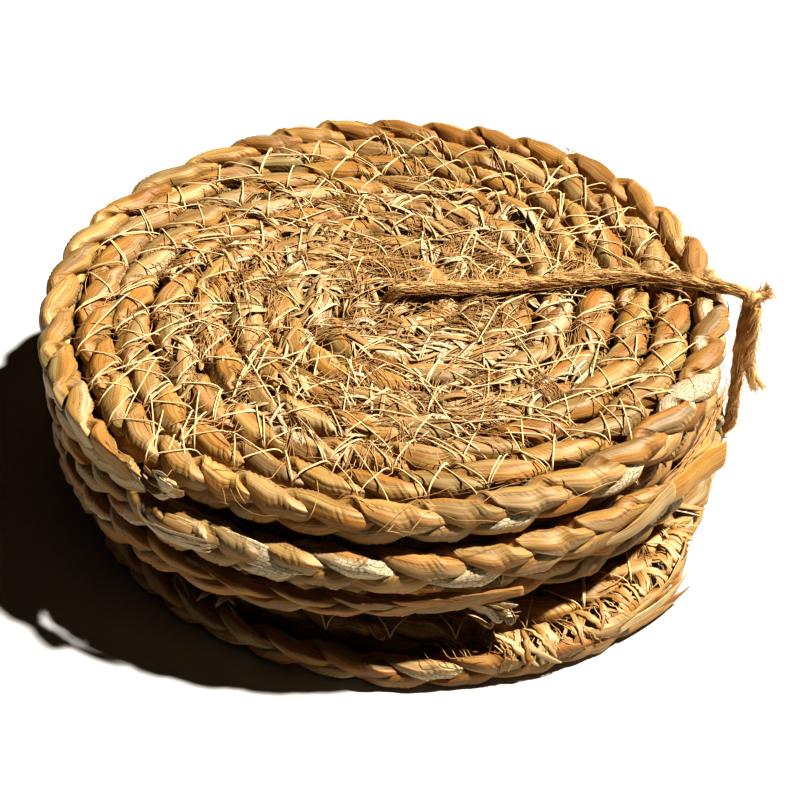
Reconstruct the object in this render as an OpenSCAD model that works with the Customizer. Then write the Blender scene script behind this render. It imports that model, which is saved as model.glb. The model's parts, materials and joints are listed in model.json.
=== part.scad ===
// A bundle of four round mats of plaited rush leaf, stacked and tied with jute twine.
// Each mat is one three-strand plait, stood on edge, wound into a flat spiral and sewn
// through with thread. Millimetres, +Z up, the bottom mat lies on Z = 0.

/* [Mats] */
// Diameter of one mat
mat_d = 180; // [160:1:200]
// Width of one row of the plait, seen from above
row_w = 10; // [9:0.5:11]
// Height of one mat, with its stitches
mat_h = 10.6; // [10:0.1:13]
// Space between one row and the next
row_gap = 0.4; // [0.3:0.1:0.8]
// Radius of the hole at the middle, which the twine goes through
hole_r = 4; // [3.8:0.1:5]
// Bevel along the outer edges of the upper and the lower strand
bevel = 1.6; // [0.8:0.1:2]

/* [Stack] */
// Free space between two mats
mat_gap = 0.3; // [0.3:0.1:1]
// Lean of the upper three mats, front edge raised, in degrees
lean = 1.6; // [0:0.1:2]

/* [Thread] */
// Thickness of the sewing thread
thread_d = 0.5; // [0.3:0.1:0.5]
// Length along the row between two stitch holes on the same side
stitch = 13; // [10:0.5:20]

/* [Twine] */
// Thickness of the jute twine
twine_d = 3; // [2:0.1:3]
// Diameter of the knot
knot_d = 7; // [6:0.1:8]

/* [Hidden] */
$fn = 96;

// The mats are counted from the bottom. Each turns about the axis of its own hole, at
// mat_x, mat_y, and its plait ends at the rim in the direction end_angle.
mat_x = [0.5, -4.9, -5.1, -5.2];
mat_y = [-2.2, -1.8, 1, 2.2];
end_angle = [325, 292, 330, 230];

// The spiral is made of half circles about two centres, row_w / 2 apart.
half_turns = round(mat_d / row_w);
band_w = row_w - row_gap;
last_r = mat_d / 2 - band_w / 2 + row_w / 4;
first_r = last_r - (half_turns - 1) * row_w / 2;

// Heights in one mat: three strands one above the other, then the stitches on top
strand_gap = 0.1;
outer_strand_h = 4;
strand_top = mat_h - thread_d;
middle_strand_h = strand_top - 2 * outer_strand_h - 2 * strand_gap;

// The upper mats lie square to a leaning axis. The lowest of them just clears the bottom
// mat at the back edge.
back_clear = (mat_h + mat_gap) * cos(lean) + (mat_y[1] + mat_d / 2) * sin(lean);
function level(i) = i == 0 ? 0 : back_clear + (i - 1) * (mat_h + mat_gap);
function tilt(i) = i == 0 ? 0 : -lean;
function mat_z(i) = i == 0 ? 0 : (level(i) - mat_y[i] * sin(lean)) / cos(lean);

// The twine's route: from the knot across the top, down through the four holes, under the
// bottom mat and up the right-hand side to the knot again
knot_at = [89, 1, 45];
loop_route = [
    [87.5, 1.2, 47.2], [84, 2.2, 48], [78, 4.8, 47.5], [68, 7.4, 47.4], [57, 8.8, 47.4],
    [43, 7.2, 47.4], [28, 5.4, 47.5], [14, 4.2, 47.5], [5, 3.7, 47.6], [0, 3.4, 47.6],
    [-3, 3, 47.2], [-4.8, 2.6, 45.2], [-5.2, 2.2, 42], [-5.2, 1.8, 38], [-5.2, 1.4, 34.5],
    [-5, 0.6, 30], [-4.8, -0.2, 26], [-4.2, -0.9, 22], [-3.4, -1.4, 17.5],
    [-2.8, -1.8, 13.6], [-1.6, -2, 10.4], [-1, -2.1, 7], [-0.6, -1.9, 4], [1, -1.4, 2.2],
    [4, -0.8, 1.7], [8, -0.3, 1.6], [16, 0, 1.6], [28, 0, 1.6], [40, 0, 1.6], [52, 0, 1.6],
    [64, 0, 1.6], [76, 0, 1.6], [83, 0, 1.6], [86.6, 0, 2.2], [88.4, 0, 4.4],
    [88.6, 0, 8], [88, 0, 13], [87.4, 0.1, 19], [87.3, 0.3, 26], [87.4, 0.6, 33],
    [88, 0.8, 39], [88.8, 1, 43]];
long_tail_route = [
    [90.4, -0.8, 44], [89.9, -2.4, 41], [89.5, -3.1, 37], [89.3, -3.4, 32.5],
    [89.6, -3.6, 28], [90.6, -3.8, 24], [92.2, -4.1, 20.8], [93.2, -4.3, 19.2]];
short_tail_route = [[91, 1.4, 45.8], [92.6, 2, 46.6], [94.2, 2.6, 47.4]];

// The channel that the twine has pressed into the underside of the bottom mat
channel_w = twine_d + 0.6;
channel_h = twine_d + 0.4;
side_x = 88.5;
side_notch_r = twine_d / 2 + 0.6;

module place(i) {
    translate([mat_x[i], mat_y[i], mat_z(i)]) rotate([tilt(i), 0, 0])
        rotate([0, 0, end_angle[i]]) children();
}

// One strand's section in the row at radius r, from height low to height high, bevelled
// by up_bevel at its upper edges and by down_bevel at its lower edges
module section(r, low, high, down_bevel, up_bevel) {
    inner = max(0, r - band_w / 2);
    outer = r + band_w / 2;
    in_bevel = inner > 0 ? 1 : 0;
    polygon([
        [inner + in_bevel * down_bevel, low], [outer - down_bevel, low],
        [outer, low + down_bevel], [outer, high - up_bevel],
        [outer - up_bevel, high], [inner + in_bevel * up_bevel, high],
        [inner, high - in_bevel * up_bevel], [inner, low + in_bevel * down_bevel]]);
}

// The whole spiral of one strand, rounded to the mat's diameter and holed in the middle
module spiral(low, high, down_bevel, up_bevel) {
    difference() {
        intersection() {
            union() for (k = [0 : half_turns - 1])
                translate([(k % 2 == 0 ? -1 : 1) * row_w / 4, 0, 0])
                    rotate([0, 0, k % 2 == 0 ? 0 : 180])
                        rotate_extrude(angle = 180)
                            section(first_r + k * row_w / 2, low, high, down_bevel, up_bevel);
            translate([0, 0, low - 1]) cylinder(h = high - low + 2, r = mat_d / 2);
        }
        translate([0, 0, low - 1]) cylinder(h = high - low + 2, r = hole_r);
    }
}

module strand_a(i) {
    color("goldenrod") place(i)
        spiral(strand_top - outer_strand_h, strand_top, 0, bevel);
}

module strand_b(i) {
    low = outer_strand_h + strand_gap;
    color("darkgoldenrod") place(i) spiral(low, low + middle_strand_h, 0, 0);
}

module strand_c(i) {
    color("peru") difference() {
        place(i) spiral(0, outer_strand_h, bevel, 0);
        if (i == 0) twine_channel();
    }
}

module twine_channel() {
    translate([mat_x[0], -channel_w / 2, -1]) cube([mat_d / 2, channel_w, channel_h + 1]);
    translate([side_x, 0, -1]) cylinder(h = outer_strand_h + 2, r = side_notch_r);
}

// The stitches on top of one mat: straight runs of thread that zigzag over every row but
// the one at the rim and the one round the hole
module thread(i) {
    z = strand_top + thread_d / 2;
    color("wheat") place(i) for (k = [2 : half_turns - 3])
        translate([(k % 2 == 0 ? -1 : 1) * row_w / 4, 0, z])
            rotate([0, 0, k % 2 == 0 ? 0 : 180]) row_stitches(first_r + k * row_w / 2);
}

module row_stitches(r) {
    runs = max(2, round(180 * r * PI / 180 / (stitch / 2)));
    step = 180 / runs;
    swing = row_w / 2 - thread_d;
    for (j = [0 : runs - 1]) {
        side = j % 2 == 0 ? 1 : -1;
        stitch_run(polar(r - side * swing, (j + 0.1) * step),
            polar(r + side * swing, (j + 0.9) * step));
    }
}

module stitch_run(p, q) {
    d = q - p;
    translate([p[0], p[1], 0]) rotate([0, 90, atan2(d[1], d[0])])
        cylinder(h = norm(d), r = thread_d / 2 - 0.01, $fn = 16);
}

function polar(r, a) = [r * cos(a), r * sin(a)];

// A round tube along a route: one ring of sides at each point, square to the route
module tube(route, r) {
    n = len(route);
    polyhedron(
        points = [for (i = [0 : n - 1]) for (s = [0 : tube_sides - 1])
            route[i] + r * ring_point(heading(route, i), s)],
        faces = concat(
            [[for (s = [0 : tube_sides - 1]) s]],
            [[for (s = [tube_sides - 1 : -1 : 0]) (n - 1) * tube_sides + s]],
            [for (i = [0 : n - 2]) for (s = [0 : tube_sides - 1])
                [i * tube_sides + s, (i + 1) * tube_sides + s,
                 (i + 1) * tube_sides + (s + 1) % tube_sides]],
            [for (i = [0 : n - 2]) for (s = [0 : tube_sides - 1])
                [i * tube_sides + s, (i + 1) * tube_sides + (s + 1) % tube_sides,
                 i * tube_sides + (s + 1) % tube_sides]]));
}
tube_sides = 8;
function unit(v) = v / norm(v);
function heading(route, i) =
    unit(route[min(i + 1, len(route) - 1)] - route[max(i - 1, 0)]);
// The twine's loop lies close to one upright plane, so that plane's normal, across, is
// never along the route and serves every ring.
across = [0, 1, 0];
function ring_point(h, s) =
    let (u = unit(cross(h, across)), v = cross(h, u), a = 360 * (s + 0.5) / tube_sides)
    cos(a) * u + sin(a) * v;

module twine_loop() { color("sienna") tube(loop_route, twine_d / 2); }

module twine_knot() { color("sienna") translate(knot_at) sphere(d = knot_d); }

module twine_long_tail() { color("sienna") tube(long_tail_route, twine_d / 2); }

module twine_short_tail() { color("sienna") tube(short_tail_route, twine_d / 2); }

for (i = [0 : 3]) {
    name = str("mat_", i + 1);
    strand_a(i);
    strand_b(i);
    strand_c(i);
    thread(i);
}
twine_loop();
twine_knot();
twine_long_tail();
twine_short_tail();
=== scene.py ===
"""The looks of a stack of four round plaited rush mats tied with jute twine.
The building functions work in millimetres, and mesh() turns them into metres."""

import bpy, json, math
import numpy as np
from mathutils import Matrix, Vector


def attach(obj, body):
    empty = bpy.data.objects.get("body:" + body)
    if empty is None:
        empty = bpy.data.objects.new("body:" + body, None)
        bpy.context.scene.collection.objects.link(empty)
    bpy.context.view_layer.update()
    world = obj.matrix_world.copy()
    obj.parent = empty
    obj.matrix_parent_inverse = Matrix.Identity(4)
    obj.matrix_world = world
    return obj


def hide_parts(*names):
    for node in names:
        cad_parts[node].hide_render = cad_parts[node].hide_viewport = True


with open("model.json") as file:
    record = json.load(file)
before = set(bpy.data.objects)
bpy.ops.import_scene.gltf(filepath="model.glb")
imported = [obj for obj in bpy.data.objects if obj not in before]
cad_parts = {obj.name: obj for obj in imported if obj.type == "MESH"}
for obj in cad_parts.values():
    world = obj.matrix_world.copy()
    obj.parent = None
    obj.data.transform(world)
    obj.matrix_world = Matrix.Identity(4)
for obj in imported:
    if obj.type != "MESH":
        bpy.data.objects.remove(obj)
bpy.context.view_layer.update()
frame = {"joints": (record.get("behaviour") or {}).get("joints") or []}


# ------------------------------------------------------------------ camera and light
AIM = Vector((-0.0058, 0.004, 0.0404))  # middle of the top mat
AIM_RIGHT, AIM_DOWN = 0.00343, 0.02374  # how far beside and below it the camera looks
CAMERA_DISTANCE, CAMERA_HEIGHT = 0.607, math.radians(38.3)
LENS_MM, SENSOR_MM = 104.1, 36
LAMP_DISTANCE = 1.2

scene = bpy.context.scene
scene.view_settings.view_transform = "Standard"
scene.view_settings.look = "High Contrast"
scene.view_settings.exposure = 0.0

cam_data = bpy.data.cameras.new("camera")
cam = bpy.data.objects.new("camera", cam_data)
scene.collection.objects.link(cam)
cam_data.lens = LENS_MM
cam_data.sensor_width = SENSOR_MM
cam_data.clip_start = 0.01
away = Vector((0, -math.cos(CAMERA_HEIGHT), math.sin(CAMERA_HEIGHT)))
cam.location = AIM + CAMERA_DISTANCE * away
ahead = (AIM - cam.location).normalized()
right = ahead.cross(Vector((0, 0, 1))).normalized()
target = AIM + right * AIM_RIGHT - right.cross(ahead) * AIM_DOWN
cam.rotation_euler = (target - cam.location).to_track_quat("-Z", "Y").to_euler()
scene.camera = cam


def light(name, kind, azimuth, height, energy, size, color):
    """A lamp that looks at the stack from azimuth (0 is +X) and height, both in degrees.
    size is a sun's angle in degrees, or else the lamp's diameter in metres."""
    data = bpy.data.lights.new(name, kind)
    data.energy = energy
    data.color = color
    if kind == "SUN":
        data.angle = math.radians(size)
    else:
        data.shape = "DISK"
        data.size = size
    lamp = bpy.data.objects.new(name, data)
    a, e = math.radians(azimuth), math.radians(height)
    way = Vector((math.cos(a) * math.cos(e), math.sin(a) * math.cos(e), math.sin(e)))
    lamp.location = way * LAMP_DISTANCE
    lamp.rotation_euler = (-way).to_track_quat("-Z", "Y").to_euler()
    scene.collection.objects.link(lamp)


light("key", "SUN", 15, 56, 6.4, 3.0, (1.0, 0.965, 0.90))
light("fill", "AREA", -38, 24, 0.37, 0.9, (1.0, 0.83, 0.62))
world = bpy.data.worlds.new("world")
world.use_nodes = True
world.node_tree.nodes["Background"].inputs[0].default_value = (1, 0.74, 0.48, 1)
world.node_tree.nodes["Background"].inputs[1].default_value = 0.010
scene.world = world

# ------------------------------------------------------------------ materials


class Nodes:
    """Short names for making a material's nodes."""

    def __init__(self, name):
        self.m = bpy.data.materials.new(name)
        self.m.use_nodes = True
        self.t = self.m.node_tree
        self.bsdf = self.t.nodes["Principled BSDF"]

    def node(self, kind, **props):
        n = self.t.nodes.new(kind)
        for k, v in props.items():
            setattr(n, k, v)
        return n

    def put(self, socket, value):
        if isinstance(value, bpy.types.NodeSocket):
            self.t.links.new(value, socket)
        else:
            socket.default_value = value

    def math(self, op, a, b):
        n = self.node("ShaderNodeMath", operation=op)
        self.put(n.inputs[0], a)
        self.put(n.inputs[1], b)
        return n.outputs[0]

    def mix(self, fac, a, b, blend="MIX"):
        n = self.node("ShaderNodeMix", data_type="RGBA", blend_type=blend)
        self.put(n.inputs[0], fac)
        self.put(n.inputs[6], a)
        self.put(n.inputs[7], b)
        return n.outputs[2]

    def ramp(self, value, *stops):
        """Grey ramp through stops of (position, grey), in rising order of position."""
        n = self.node("ShaderNodeValToRGB")
        for x, (pos, grey) in zip(n.color_ramp.elements, stops):
            x.position = pos
            x.color = (grey, grey, grey, 1)
        self.put(n.inputs[0], value)
        return n.outputs[0]

    def attribute(self, name, out="Color"):
        return self.node("ShaderNodeAttribute", attribute_name=name).outputs[out]

    def grain(self, along, across):
        """The piece's own grain coordinates, in cells a metre along and across the leaf."""
        m = self.node("ShaderNodeMapping")
        m.inputs["Scale"].default_value = (along, across, 1)
        self.put(m.inputs[0], self.node("ShaderNodeUVMap", uv_map="grain").outputs[0])
        return m.outputs[0]

    def noise(self, vector, detail, rough, scale=1.0, out=0):
        n = self.node("ShaderNodeTexNoise")
        self.put(n.inputs["Vector"], vector)
        n.inputs["Scale"].default_value = scale
        n.inputs["Detail"].default_value = detail
        n.inputs["Roughness"].default_value = rough
        return n.outputs[out]

    def bump(self, height, strength, distance, normal=None):
        n = self.node("ShaderNodeBump")
        n.inputs["Strength"].default_value = strength
        n.inputs["Distance"].default_value = distance
        self.put(n.inputs["Height"], height)
        if normal is not None:
            self.put(n.inputs["Normal"], normal)
        return n.outputs[0]


def rush_material():
    """Dry rush leaf: its own tone, long veins, blotches and dark specks, and in places the
    pale lattice of the leaf's inside."""
    k = Nodes("rush_leaf")
    lattice = k.attribute("lattice", "Fac")
    veins = k.noise(k.grain(45, 2600), 3, 0.6)
    ribs = k.noise(k.grain(22, 760), 1, 0.5)
    blotch = k.noise(k.grain(70, 260), 3, 0.6)
    streak = k.noise(k.grain(12, 1500), 2, 0.5)
    speck = k.noise(k.grain(420, 1100), 2, 0.55)
    dark = k.ramp(veins, (0.32, 0.75), (0.62, 0.0))
    c = k.mix(dark, k.attribute("tone"), (0.20, 0.095, 0.032, 1))
    # the noise, where its mark starts and where it is full, how strong it is, its colour
    for source, start, full, share, colour in (
            (veins, 0.30, 0.75, 0.20, (0.70, 0.48, 0.22)),
            (blotch, 0.50, 0.72, 0.60, (0.28, 0.115, 0.020)),
            (blotch, 0.44, 0.26, 0.25, (0.62, 0.47, 0.25)),
            (streak, 0.60, 0.70, 0.60, (0.16, 0.075, 0.03)),
            (speck, 0.70, 0.76, 0.85, (0.07, 0.035, 0.018))):
        mark = k.ramp(source, *sorted(((start, 0.0), (full, 1.0))))
        c = k.mix(k.math("MULTIPLY", mark, share), c, (*colour, 1))
    cells = k.node("ShaderNodeTexBrick")
    wander = k.node("ShaderNodeVectorMath", operation="MULTIPLY_ADD")
    k.put(wander.inputs[0], k.noise(k.grain(900, 900), 2, 0.6, out=1))
    wander.inputs[1].default_value = (1.5, 1.1, 0)
    k.put(wander.inputs[2], k.grain(1000, 1000))
    k.put(cells.inputs["Vector"], wander.outputs[0])
    for name, value in (
            ("Scale", 1.0), ("Mortar Size", 0.11), ("Mortar Smooth", 0.6),
            ("Brick Width", 1.7), ("Row Height", 0.85), ("Color1", (0.64, 0.54, 0.37, 1)),
            ("Color2", (0.52, 0.42, 0.27, 1)), ("Mortar", (0.22, 0.15, 0.09, 1))):
        cells.inputs[name].default_value = value
    k.put(k.bsdf.inputs["Base Color"], k.mix(lattice, c, cells.outputs["Color"]))
    dry = k.math("ADD", k.math("MULTIPLY", veins, 0.5), k.math("MULTIPLY", lattice, 0.5))
    k.put(k.bsdf.inputs["Roughness"], k.ramp(dry, (0.1, 0.44), (0.8, 0.78)))
    k.bsdf.inputs["Specular IOR Level"].default_value = 0.38
    n = k.bump(ribs, 0.38, 0.0004)
    n = k.bump(veins, 0.42, 0.00018, n)
    n = k.bump(k.math("MULTIPLY", cells.outputs["Fac"], lattice), -0.6, 0.0002, n)
    k.put(k.bsdf.inputs["Normal"], n)
    return k.m


def fibre_material(name, low, high, rough, along, across):
    """Thread, straw and jute fibre: the piece's tone, broken by long fine fibres."""
    k = Nodes(name)
    f = k.noise(k.grain(along, across), 3, 0.65)
    c = k.mix(k.ramp(f, (0.3, 0.0), (0.7, 1.0)), (*low, 1), (*high, 1))
    c = k.mix(0.55, c, k.attribute("tone"), "MULTIPLY")
    k.put(k.bsdf.inputs["Base Color"], c)
    k.put(k.bsdf.inputs["Roughness"], k.ramp(f, (0.2, rough - 0.1), (0.8, rough + 0.1)))
    k.put(k.bsdf.inputs["Normal"], k.bump(f, 0.6, 0.00012))
    return k.m


# each look is a material and the name of its slot
RUSH = rush_material(), "rush_leaf"
THREAD = fibre_material(
    "thread", (0.62, 0.44, 0.22), (0.95, 0.82, 0.56), 0.5, 60, 9000), "thread"
STRAWS = fibre_material(
    "straw", (0.34, 0.205, 0.085), (0.70, 0.51, 0.28), 0.55, 60, 9000), "rush_leaf"
JUTE = fibre_material(
    "jute", (0.50, 0.31, 0.12), (0.95, 0.70, 0.38), 0.75, 90, 7000), "jute"


def floor_material():
    k = Nodes("floor")
    f = k.noise(k.node("ShaderNodeTexCoord").outputs["Object"], 2.0, 0.5, scale=3.0)
    k.put(k.bsdf.inputs["Base Color"], k.ramp(f, (0.3, 0.54), (0.7, 0.57)))
    k.bsdf.inputs["Roughness"].default_value = 0.8
    return k.m


# ------------------------------------------------------------------ meshes


def mesh(name, verts, faces, body, look, tone, uv, lattice=None, nodes=(), caps=()):
    """One piece. verts in mm; tone and lattice are one value a vertex, and uv is one pair
    a face corner, in metres. caps are the many-sided faces that close a tube's ends."""
    material, slot = look
    faces = np.asarray(faces, np.int32)
    m = bpy.data.meshes.new(name)
    corners = np.concatenate([faces.ravel(), *caps]).astype(np.int32)
    sides = np.concatenate([np.full(len(faces), faces.shape[1]), [len(c) for c in caps]])
    sides = sides.astype(np.int32)
    m.vertices.add(len(verts))
    m.vertices.foreach_set("co", (np.asarray(verts, np.float32) / 1000).ravel())
    m.loops.add(len(corners))
    m.loops.foreach_set("vertex_index", corners)
    m.polygons.add(len(sides))
    m.polygons.foreach_set("loop_start", (np.cumsum(sides) - sides).astype(np.int32))
    m.polygons.foreach_set("loop_total", sides)
    m.polygons.foreach_set("use_smooth", np.ones(len(sides), bool))
    m.update(calc_edges=True)
    uv = np.concatenate([uv, np.zeros((len(corners) - len(uv), 2))]).astype(np.float32)
    m.uv_layers.new(name="grain").data.foreach_set("uv", uv.ravel())
    c = np.ones((len(verts), 4), np.float32)
    c[:, :3] = tone
    colours = m.color_attributes.new("tone", "FLOAT_COLOR", "POINT")
    colours.data.foreach_set("color", c.ravel())
    if lattice is not None:
        values = m.attributes.new("lattice", "FLOAT", "POINT")
        values.data.foreach_set("value", np.asarray(lattice, np.float32))
    m.materials.append(material)
    o = bpy.data.objects.new(name, m)
    scene.collection.objects.link(o)
    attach(o, body)
    if nodes:
        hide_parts(*nodes)


def grid_faces(rings, sides):
    """Quads of a closed tube of rings x sides vertices."""
    i = np.arange(rings - 1)[:, None] * sides
    j = np.arange(sides)[None, :]
    j2 = (j + 1) % sides
    return np.stack([i + j, i + j2, i + sides + j2, i + sides + j], -1).reshape(-1, 4)


def tube_triangles(rings, sides):
    """Triangles of a closed tube whose ends are closed by two more vertices after the rings."""
    quads = grid_faces(rings, sides)
    k = np.arange(sides)
    n = rings * sides
    after = (k + 1) % sides
    first = np.stack([np.full(sides, n), after, k], -1)
    last = np.stack([np.full(sides, n + 1), n - sides + k, n - sides + after], -1)
    return np.concatenate([quads[:, [0, 1, 2]], quads[:, [0, 2, 3]], first, last])


def unit(v):
    return v / np.maximum(np.linalg.norm(v, axis=-1, keepdims=True), 1e-12)


def smooth_noise(x, cell, seed, lo=-1.0, hi=1.0):
    """Smooth random values along x, one new value every cell."""
    r = np.random.default_rng(seed)
    t = np.asarray(x, float) / cell
    base = np.floor(t.min())
    values = r.uniform(lo, hi, int(t.max() - base) + 3)
    i = np.floor(t - base).astype(int)
    f = t - base - i
    f = f * f * (3 - 2 * f)
    return values[i] * (1 - f) + values[i + 1] * f


def step01(x, a, b):
    """A smooth step from 0 at a to 1 at b."""
    t = np.clip((x - a) / (b - a), 0, 1)
    return t * t * (3 - 2 * t)


# ------------------------------------------------------------------ the mats
MAT_R, ROW, LEAN = 90.0, 10.0, math.radians(1.6)
END_ANGLE = [325, 292, 330, 230]  # where each mat's plait ends, as in the CAD
BODIES = ["bottom_mat", "lower_middle_mat", "upper_middle_mat", "top_mat"]
TURNS = 9
FIRST_R = 0.2  # radius at which the spiral would start
LAST_R = 85.2  # radius of the outer row's middle line
PLAIT_Z = 5.15  # height of a plait's middle line
PITCH = 45.0  # one full turn of the plait
UP_SWING, OUT_SWING = 2.62, 1.95  # how far a strand swings up and down, out and in
HALF_WIDE, HALF_THICK = 3.48, 2.58  # half of a strand's section
LEAVES = 5  # leaves round one strand
RING = 40  # vertices round one strand
GIRTH = 20.0  # length round one strand
LOW_Z, HIGH_Z = 0.8, 9.9  # beyond these heights a plait is pressed flat

places = {j["child"]: [1000 * c for c in j["pos_m"]] for j in frame["joints"]}
ORIGIN = [np.array([0.5, -2.2, 0.0])] + [np.array(places[b]) for b in BODIES[1:]]

PALETTE = np.array([
    [0.41, 0.245, 0.078], [0.48, 0.305, 0.108], [0.45, 0.305, 0.140], [0.42, 0.205, 0.042],
    [0.32, 0.135, 0.022], [0.28, 0.215, 0.092], [0.23, 0.175, 0.086], [0.54, 0.400, 0.200],
    [0.48, 0.255, 0.060], [0.62, 0.500, 0.310]])
SHARE = np.array([19, 18, 12, 12, 7, 9, 6, 6, 8, 3], float)
SHARE /= SHARE.sum()

# Where each mat's outline is drawn out or in: share, middle and half width in degrees
# from +X. Hand-made mats aren't quite round.
BULGE = [[(0.030, 294, 16), (0.016, 268, 12), (-0.035, 325, 6), (-0.040, 345, 18)],
         [(-0.028, 278, 16)],
         [(0.012, 200, 60)],
         [(0.018, 186, 50), (-0.008, 265, 50), (-0.020, 241, 10)]]
# Where each mat's outer row is slimmer: share, middle and half width in degrees from +X,
# and how far it moves up
SLIM = [[(0.27, 248, 48, -1.5)], [(0.16, 262, 34, 1.6)], [(0.0, 250, 26, 0.6)], []]
# Each plait's end: half turns over which it grows thin, how thin, half turns over which it
# is torn, and how far the thin part moves up
TAPER = [(0.20, 0.80, 0.05, -0.5), (0.42, 0.66, 0.09, 4.5), (0.25, 0.85, 0.06, 1.0),
         (0.16, 0.95, 0.04, 0.0)]
# Where a leaf on the outer side shows its torn, pale inner lattice: mat, angle in degrees
# from +X, height, half length and half height
PATCHES = [
    (3, 277.5, 3.6, 8, 2.2), (3, 290.5, 6.4, 10, 3.2), (3, 333, 8.6, 8, 3.0),
    (3, 306, 2.6, 5, 1.4), (2, 268, 8.2, 10, 1.8), (2, 240, 7.2, 9, 2.2),
    (2, 255, 6.2, 10, 2.4), (2, 316, 5.0, 7, 2.6), (1, 287, 6.0, 7, 2.0),
    (1, 320.5, 7.0, 7, 3.0), (1, 328, 6.0, 5, 2.4), (2, 205, 6.0, 6, 2.0),
    (1, 215, 5.0, 6, 2.0), (0, 205, 7.0, 6, 2.0), (3, 110, 5.0, 8, 2.4),
    (2, 60, 5.0, 9, 2.6), (1, 130, 4.0, 8, 2.4), (0, 80, 5.0, 8, 2.6)]


def place(i, p, turned=True):
    """Points in mat i's own frame, put where the mat lies. That frame's +X points to the
    end of the mat's plait, or along the stack's +X if turned is False."""
    p = np.asarray(p, float)
    a = math.radians(END_ANGLE[i]) if turned else 0.0
    x = p[..., 0] * math.cos(a) - p[..., 1] * math.sin(a)
    y = p[..., 0] * math.sin(a) + p[..., 1] * math.cos(a)
    z = p[..., 2]
    angle, far = np.arctan2(y, x), np.hypot(x, y) / MAT_R
    grow = sum(b * np.exp(2.2 * (np.cos(angle - math.radians(c)) - 1) / math.radians(w) ** 2)
               for b, c, w in BULGE[i])
    grow = 1 + grow * np.clip(far, 0, 1) ** 2
    x, y = x * grow, y * grow
    if i:
        c, s = math.cos(-LEAN), math.sin(-LEAN)
        y, z = y * c - z * s, y * s + z * c
    return np.stack([x, y, z], -1) + ORIGIN[i]


def squeeze(theta):
    """How far in the rows are drawn at theta, as a share, so that the outer one stays round."""
    u = ((theta - math.pi) % (2 * math.pi)) / math.pi  # 0 to 1 over the last half turn
    full = LAST_R / (LAST_R + ROW / 2 * np.clip(u, 0, 1))
    back = step01(u, 0.80, 1.0)
    return full * (1 - back) + back


def row_radius(theta):
    """Radius of the plait's middle line at theta, in radians from the spiral's start."""
    return (FIRST_R + ROW * theta / (2 * math.pi)) * squeeze(theta)


def off_row(rad, ang):
    """How far a point lies from the middle of its row, in mm."""
    turn = (rad / squeeze(ang) - FIRST_R) / ROW - ang % (2 * math.pi) / (2 * math.pi)
    return (turn - np.clip(np.round(turn), 0, TURNS - 1)) * ROW


class Spiral:
    """The plait's middle line, by length along it."""

    def __init__(self):
        self.end = 2 * math.pi * TURNS
        self.theta = np.linspace(2 * math.pi * 0.78, self.end, 20000)
        r = row_radius(self.theta)
        x, y = r * np.cos(self.theta), r * np.sin(self.theta)
        self.s = np.concatenate([[0], np.cumsum(np.hypot(np.diff(x), np.diff(y)))])
        self.length = self.s[-1]

    def at(self, s):
        """Middle point, way outward and turn angle at each length s."""
        theta = np.interp(s, self.s, self.theta)
        d = 1e-3
        r, r2 = row_radius(theta), row_radius(theta + d)
        p = np.stack([r * np.cos(theta), r * np.sin(theta)], -1)
        q = np.stack([r2 * np.cos(theta + d), r2 * np.sin(theta + d)], -1)
        t = unit(q - p)
        return p, np.stack([t[:, 1], -t[:, 0]], -1), theta

    def of_theta(self, theta):
        return np.interp(theta, self.theta, self.s)


SPIRAL = Spiral()


def plait_phase(i, j, s):
    """How far strand j has gone round in the plait at length s."""
    wander = 0.75 * smooth_noise(s, 48, 77 + i, -1, 1)
    return 2 * math.pi * (s / PITCH + j / 3) + wander + 1.3 * i


def patches_on(i, j, verts, s, seed):
    """The lattice patches on strand j of mat i, where its lobe is the outermost one."""
    found = np.zeros(verts.shape[:2])
    z = verts[..., 2]
    for m, angle, height, half_s, half_z in PATCHES:
        if m != i:
            continue
        local = math.radians(angle - END_ANGLE[i]) % (2 * math.pi)
        at = SPIRAL.of_theta(SPIRAL.end - 2 * math.pi + local)
        phases = [plait_phase(i, x, np.array([at]))[0] for x in range(3)]
        score = [abs(PLAIT_Z + 2.6 * math.sin(f) - height) + (0 if -math.sin(2 * f) > 0 else 3)
                 for f in phases]
        if int(np.argmin(score)) != j:
            continue
        rag = 0.30 * smooth_noise(s * 3 + 7, 4, seed + 61)[:, None]
        rag = rag + 0.18 * smooth_noise((z * 3).ravel(), 1.7, seed + 62).reshape(z.shape)
        far = ((s[:, None] - at) / half_s) ** 2 + ((z - height) / half_z) ** 2
        found = np.maximum(found, step01(1.15 - far + rag, 0.0, 0.18))
    return found


def taper(i, s, theta):
    """Along a plait of mat i: its size as a share, and how far it moves up and outward."""
    left = (SPIRAL.end - theta) / math.pi  # half turns to the end
    reach, thin_to, torn, end_lift = TAPER[i]
    size = thin_to + (1 - thin_to) * step01(left, torn, reach)
    size = size * (0.45 + 0.55 * step01(left, 0.0, torn)) * (0.45 + 0.55 * step01(s, 0, 18))
    rise = (1 - size) * end_lift * step01(s, 20, 40)
    for share, middle, wide, lift in SLIM[i]:
        turn = (np.degrees(theta) + END_ANGLE[i] - middle + 180) % 360 - 180
        near = np.exp(-(turn / wide) ** 4) * (1 - step01(left, 1.9, 2.3))
        size = size * (1 - share * near)
        rise = rise + lift * near
    outward = (1 - size) * 4.0 * (1 - step01(left, 1.7, 2.2)) * step01(left, 0.0, 0.1)
    return size, rise, outward


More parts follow.
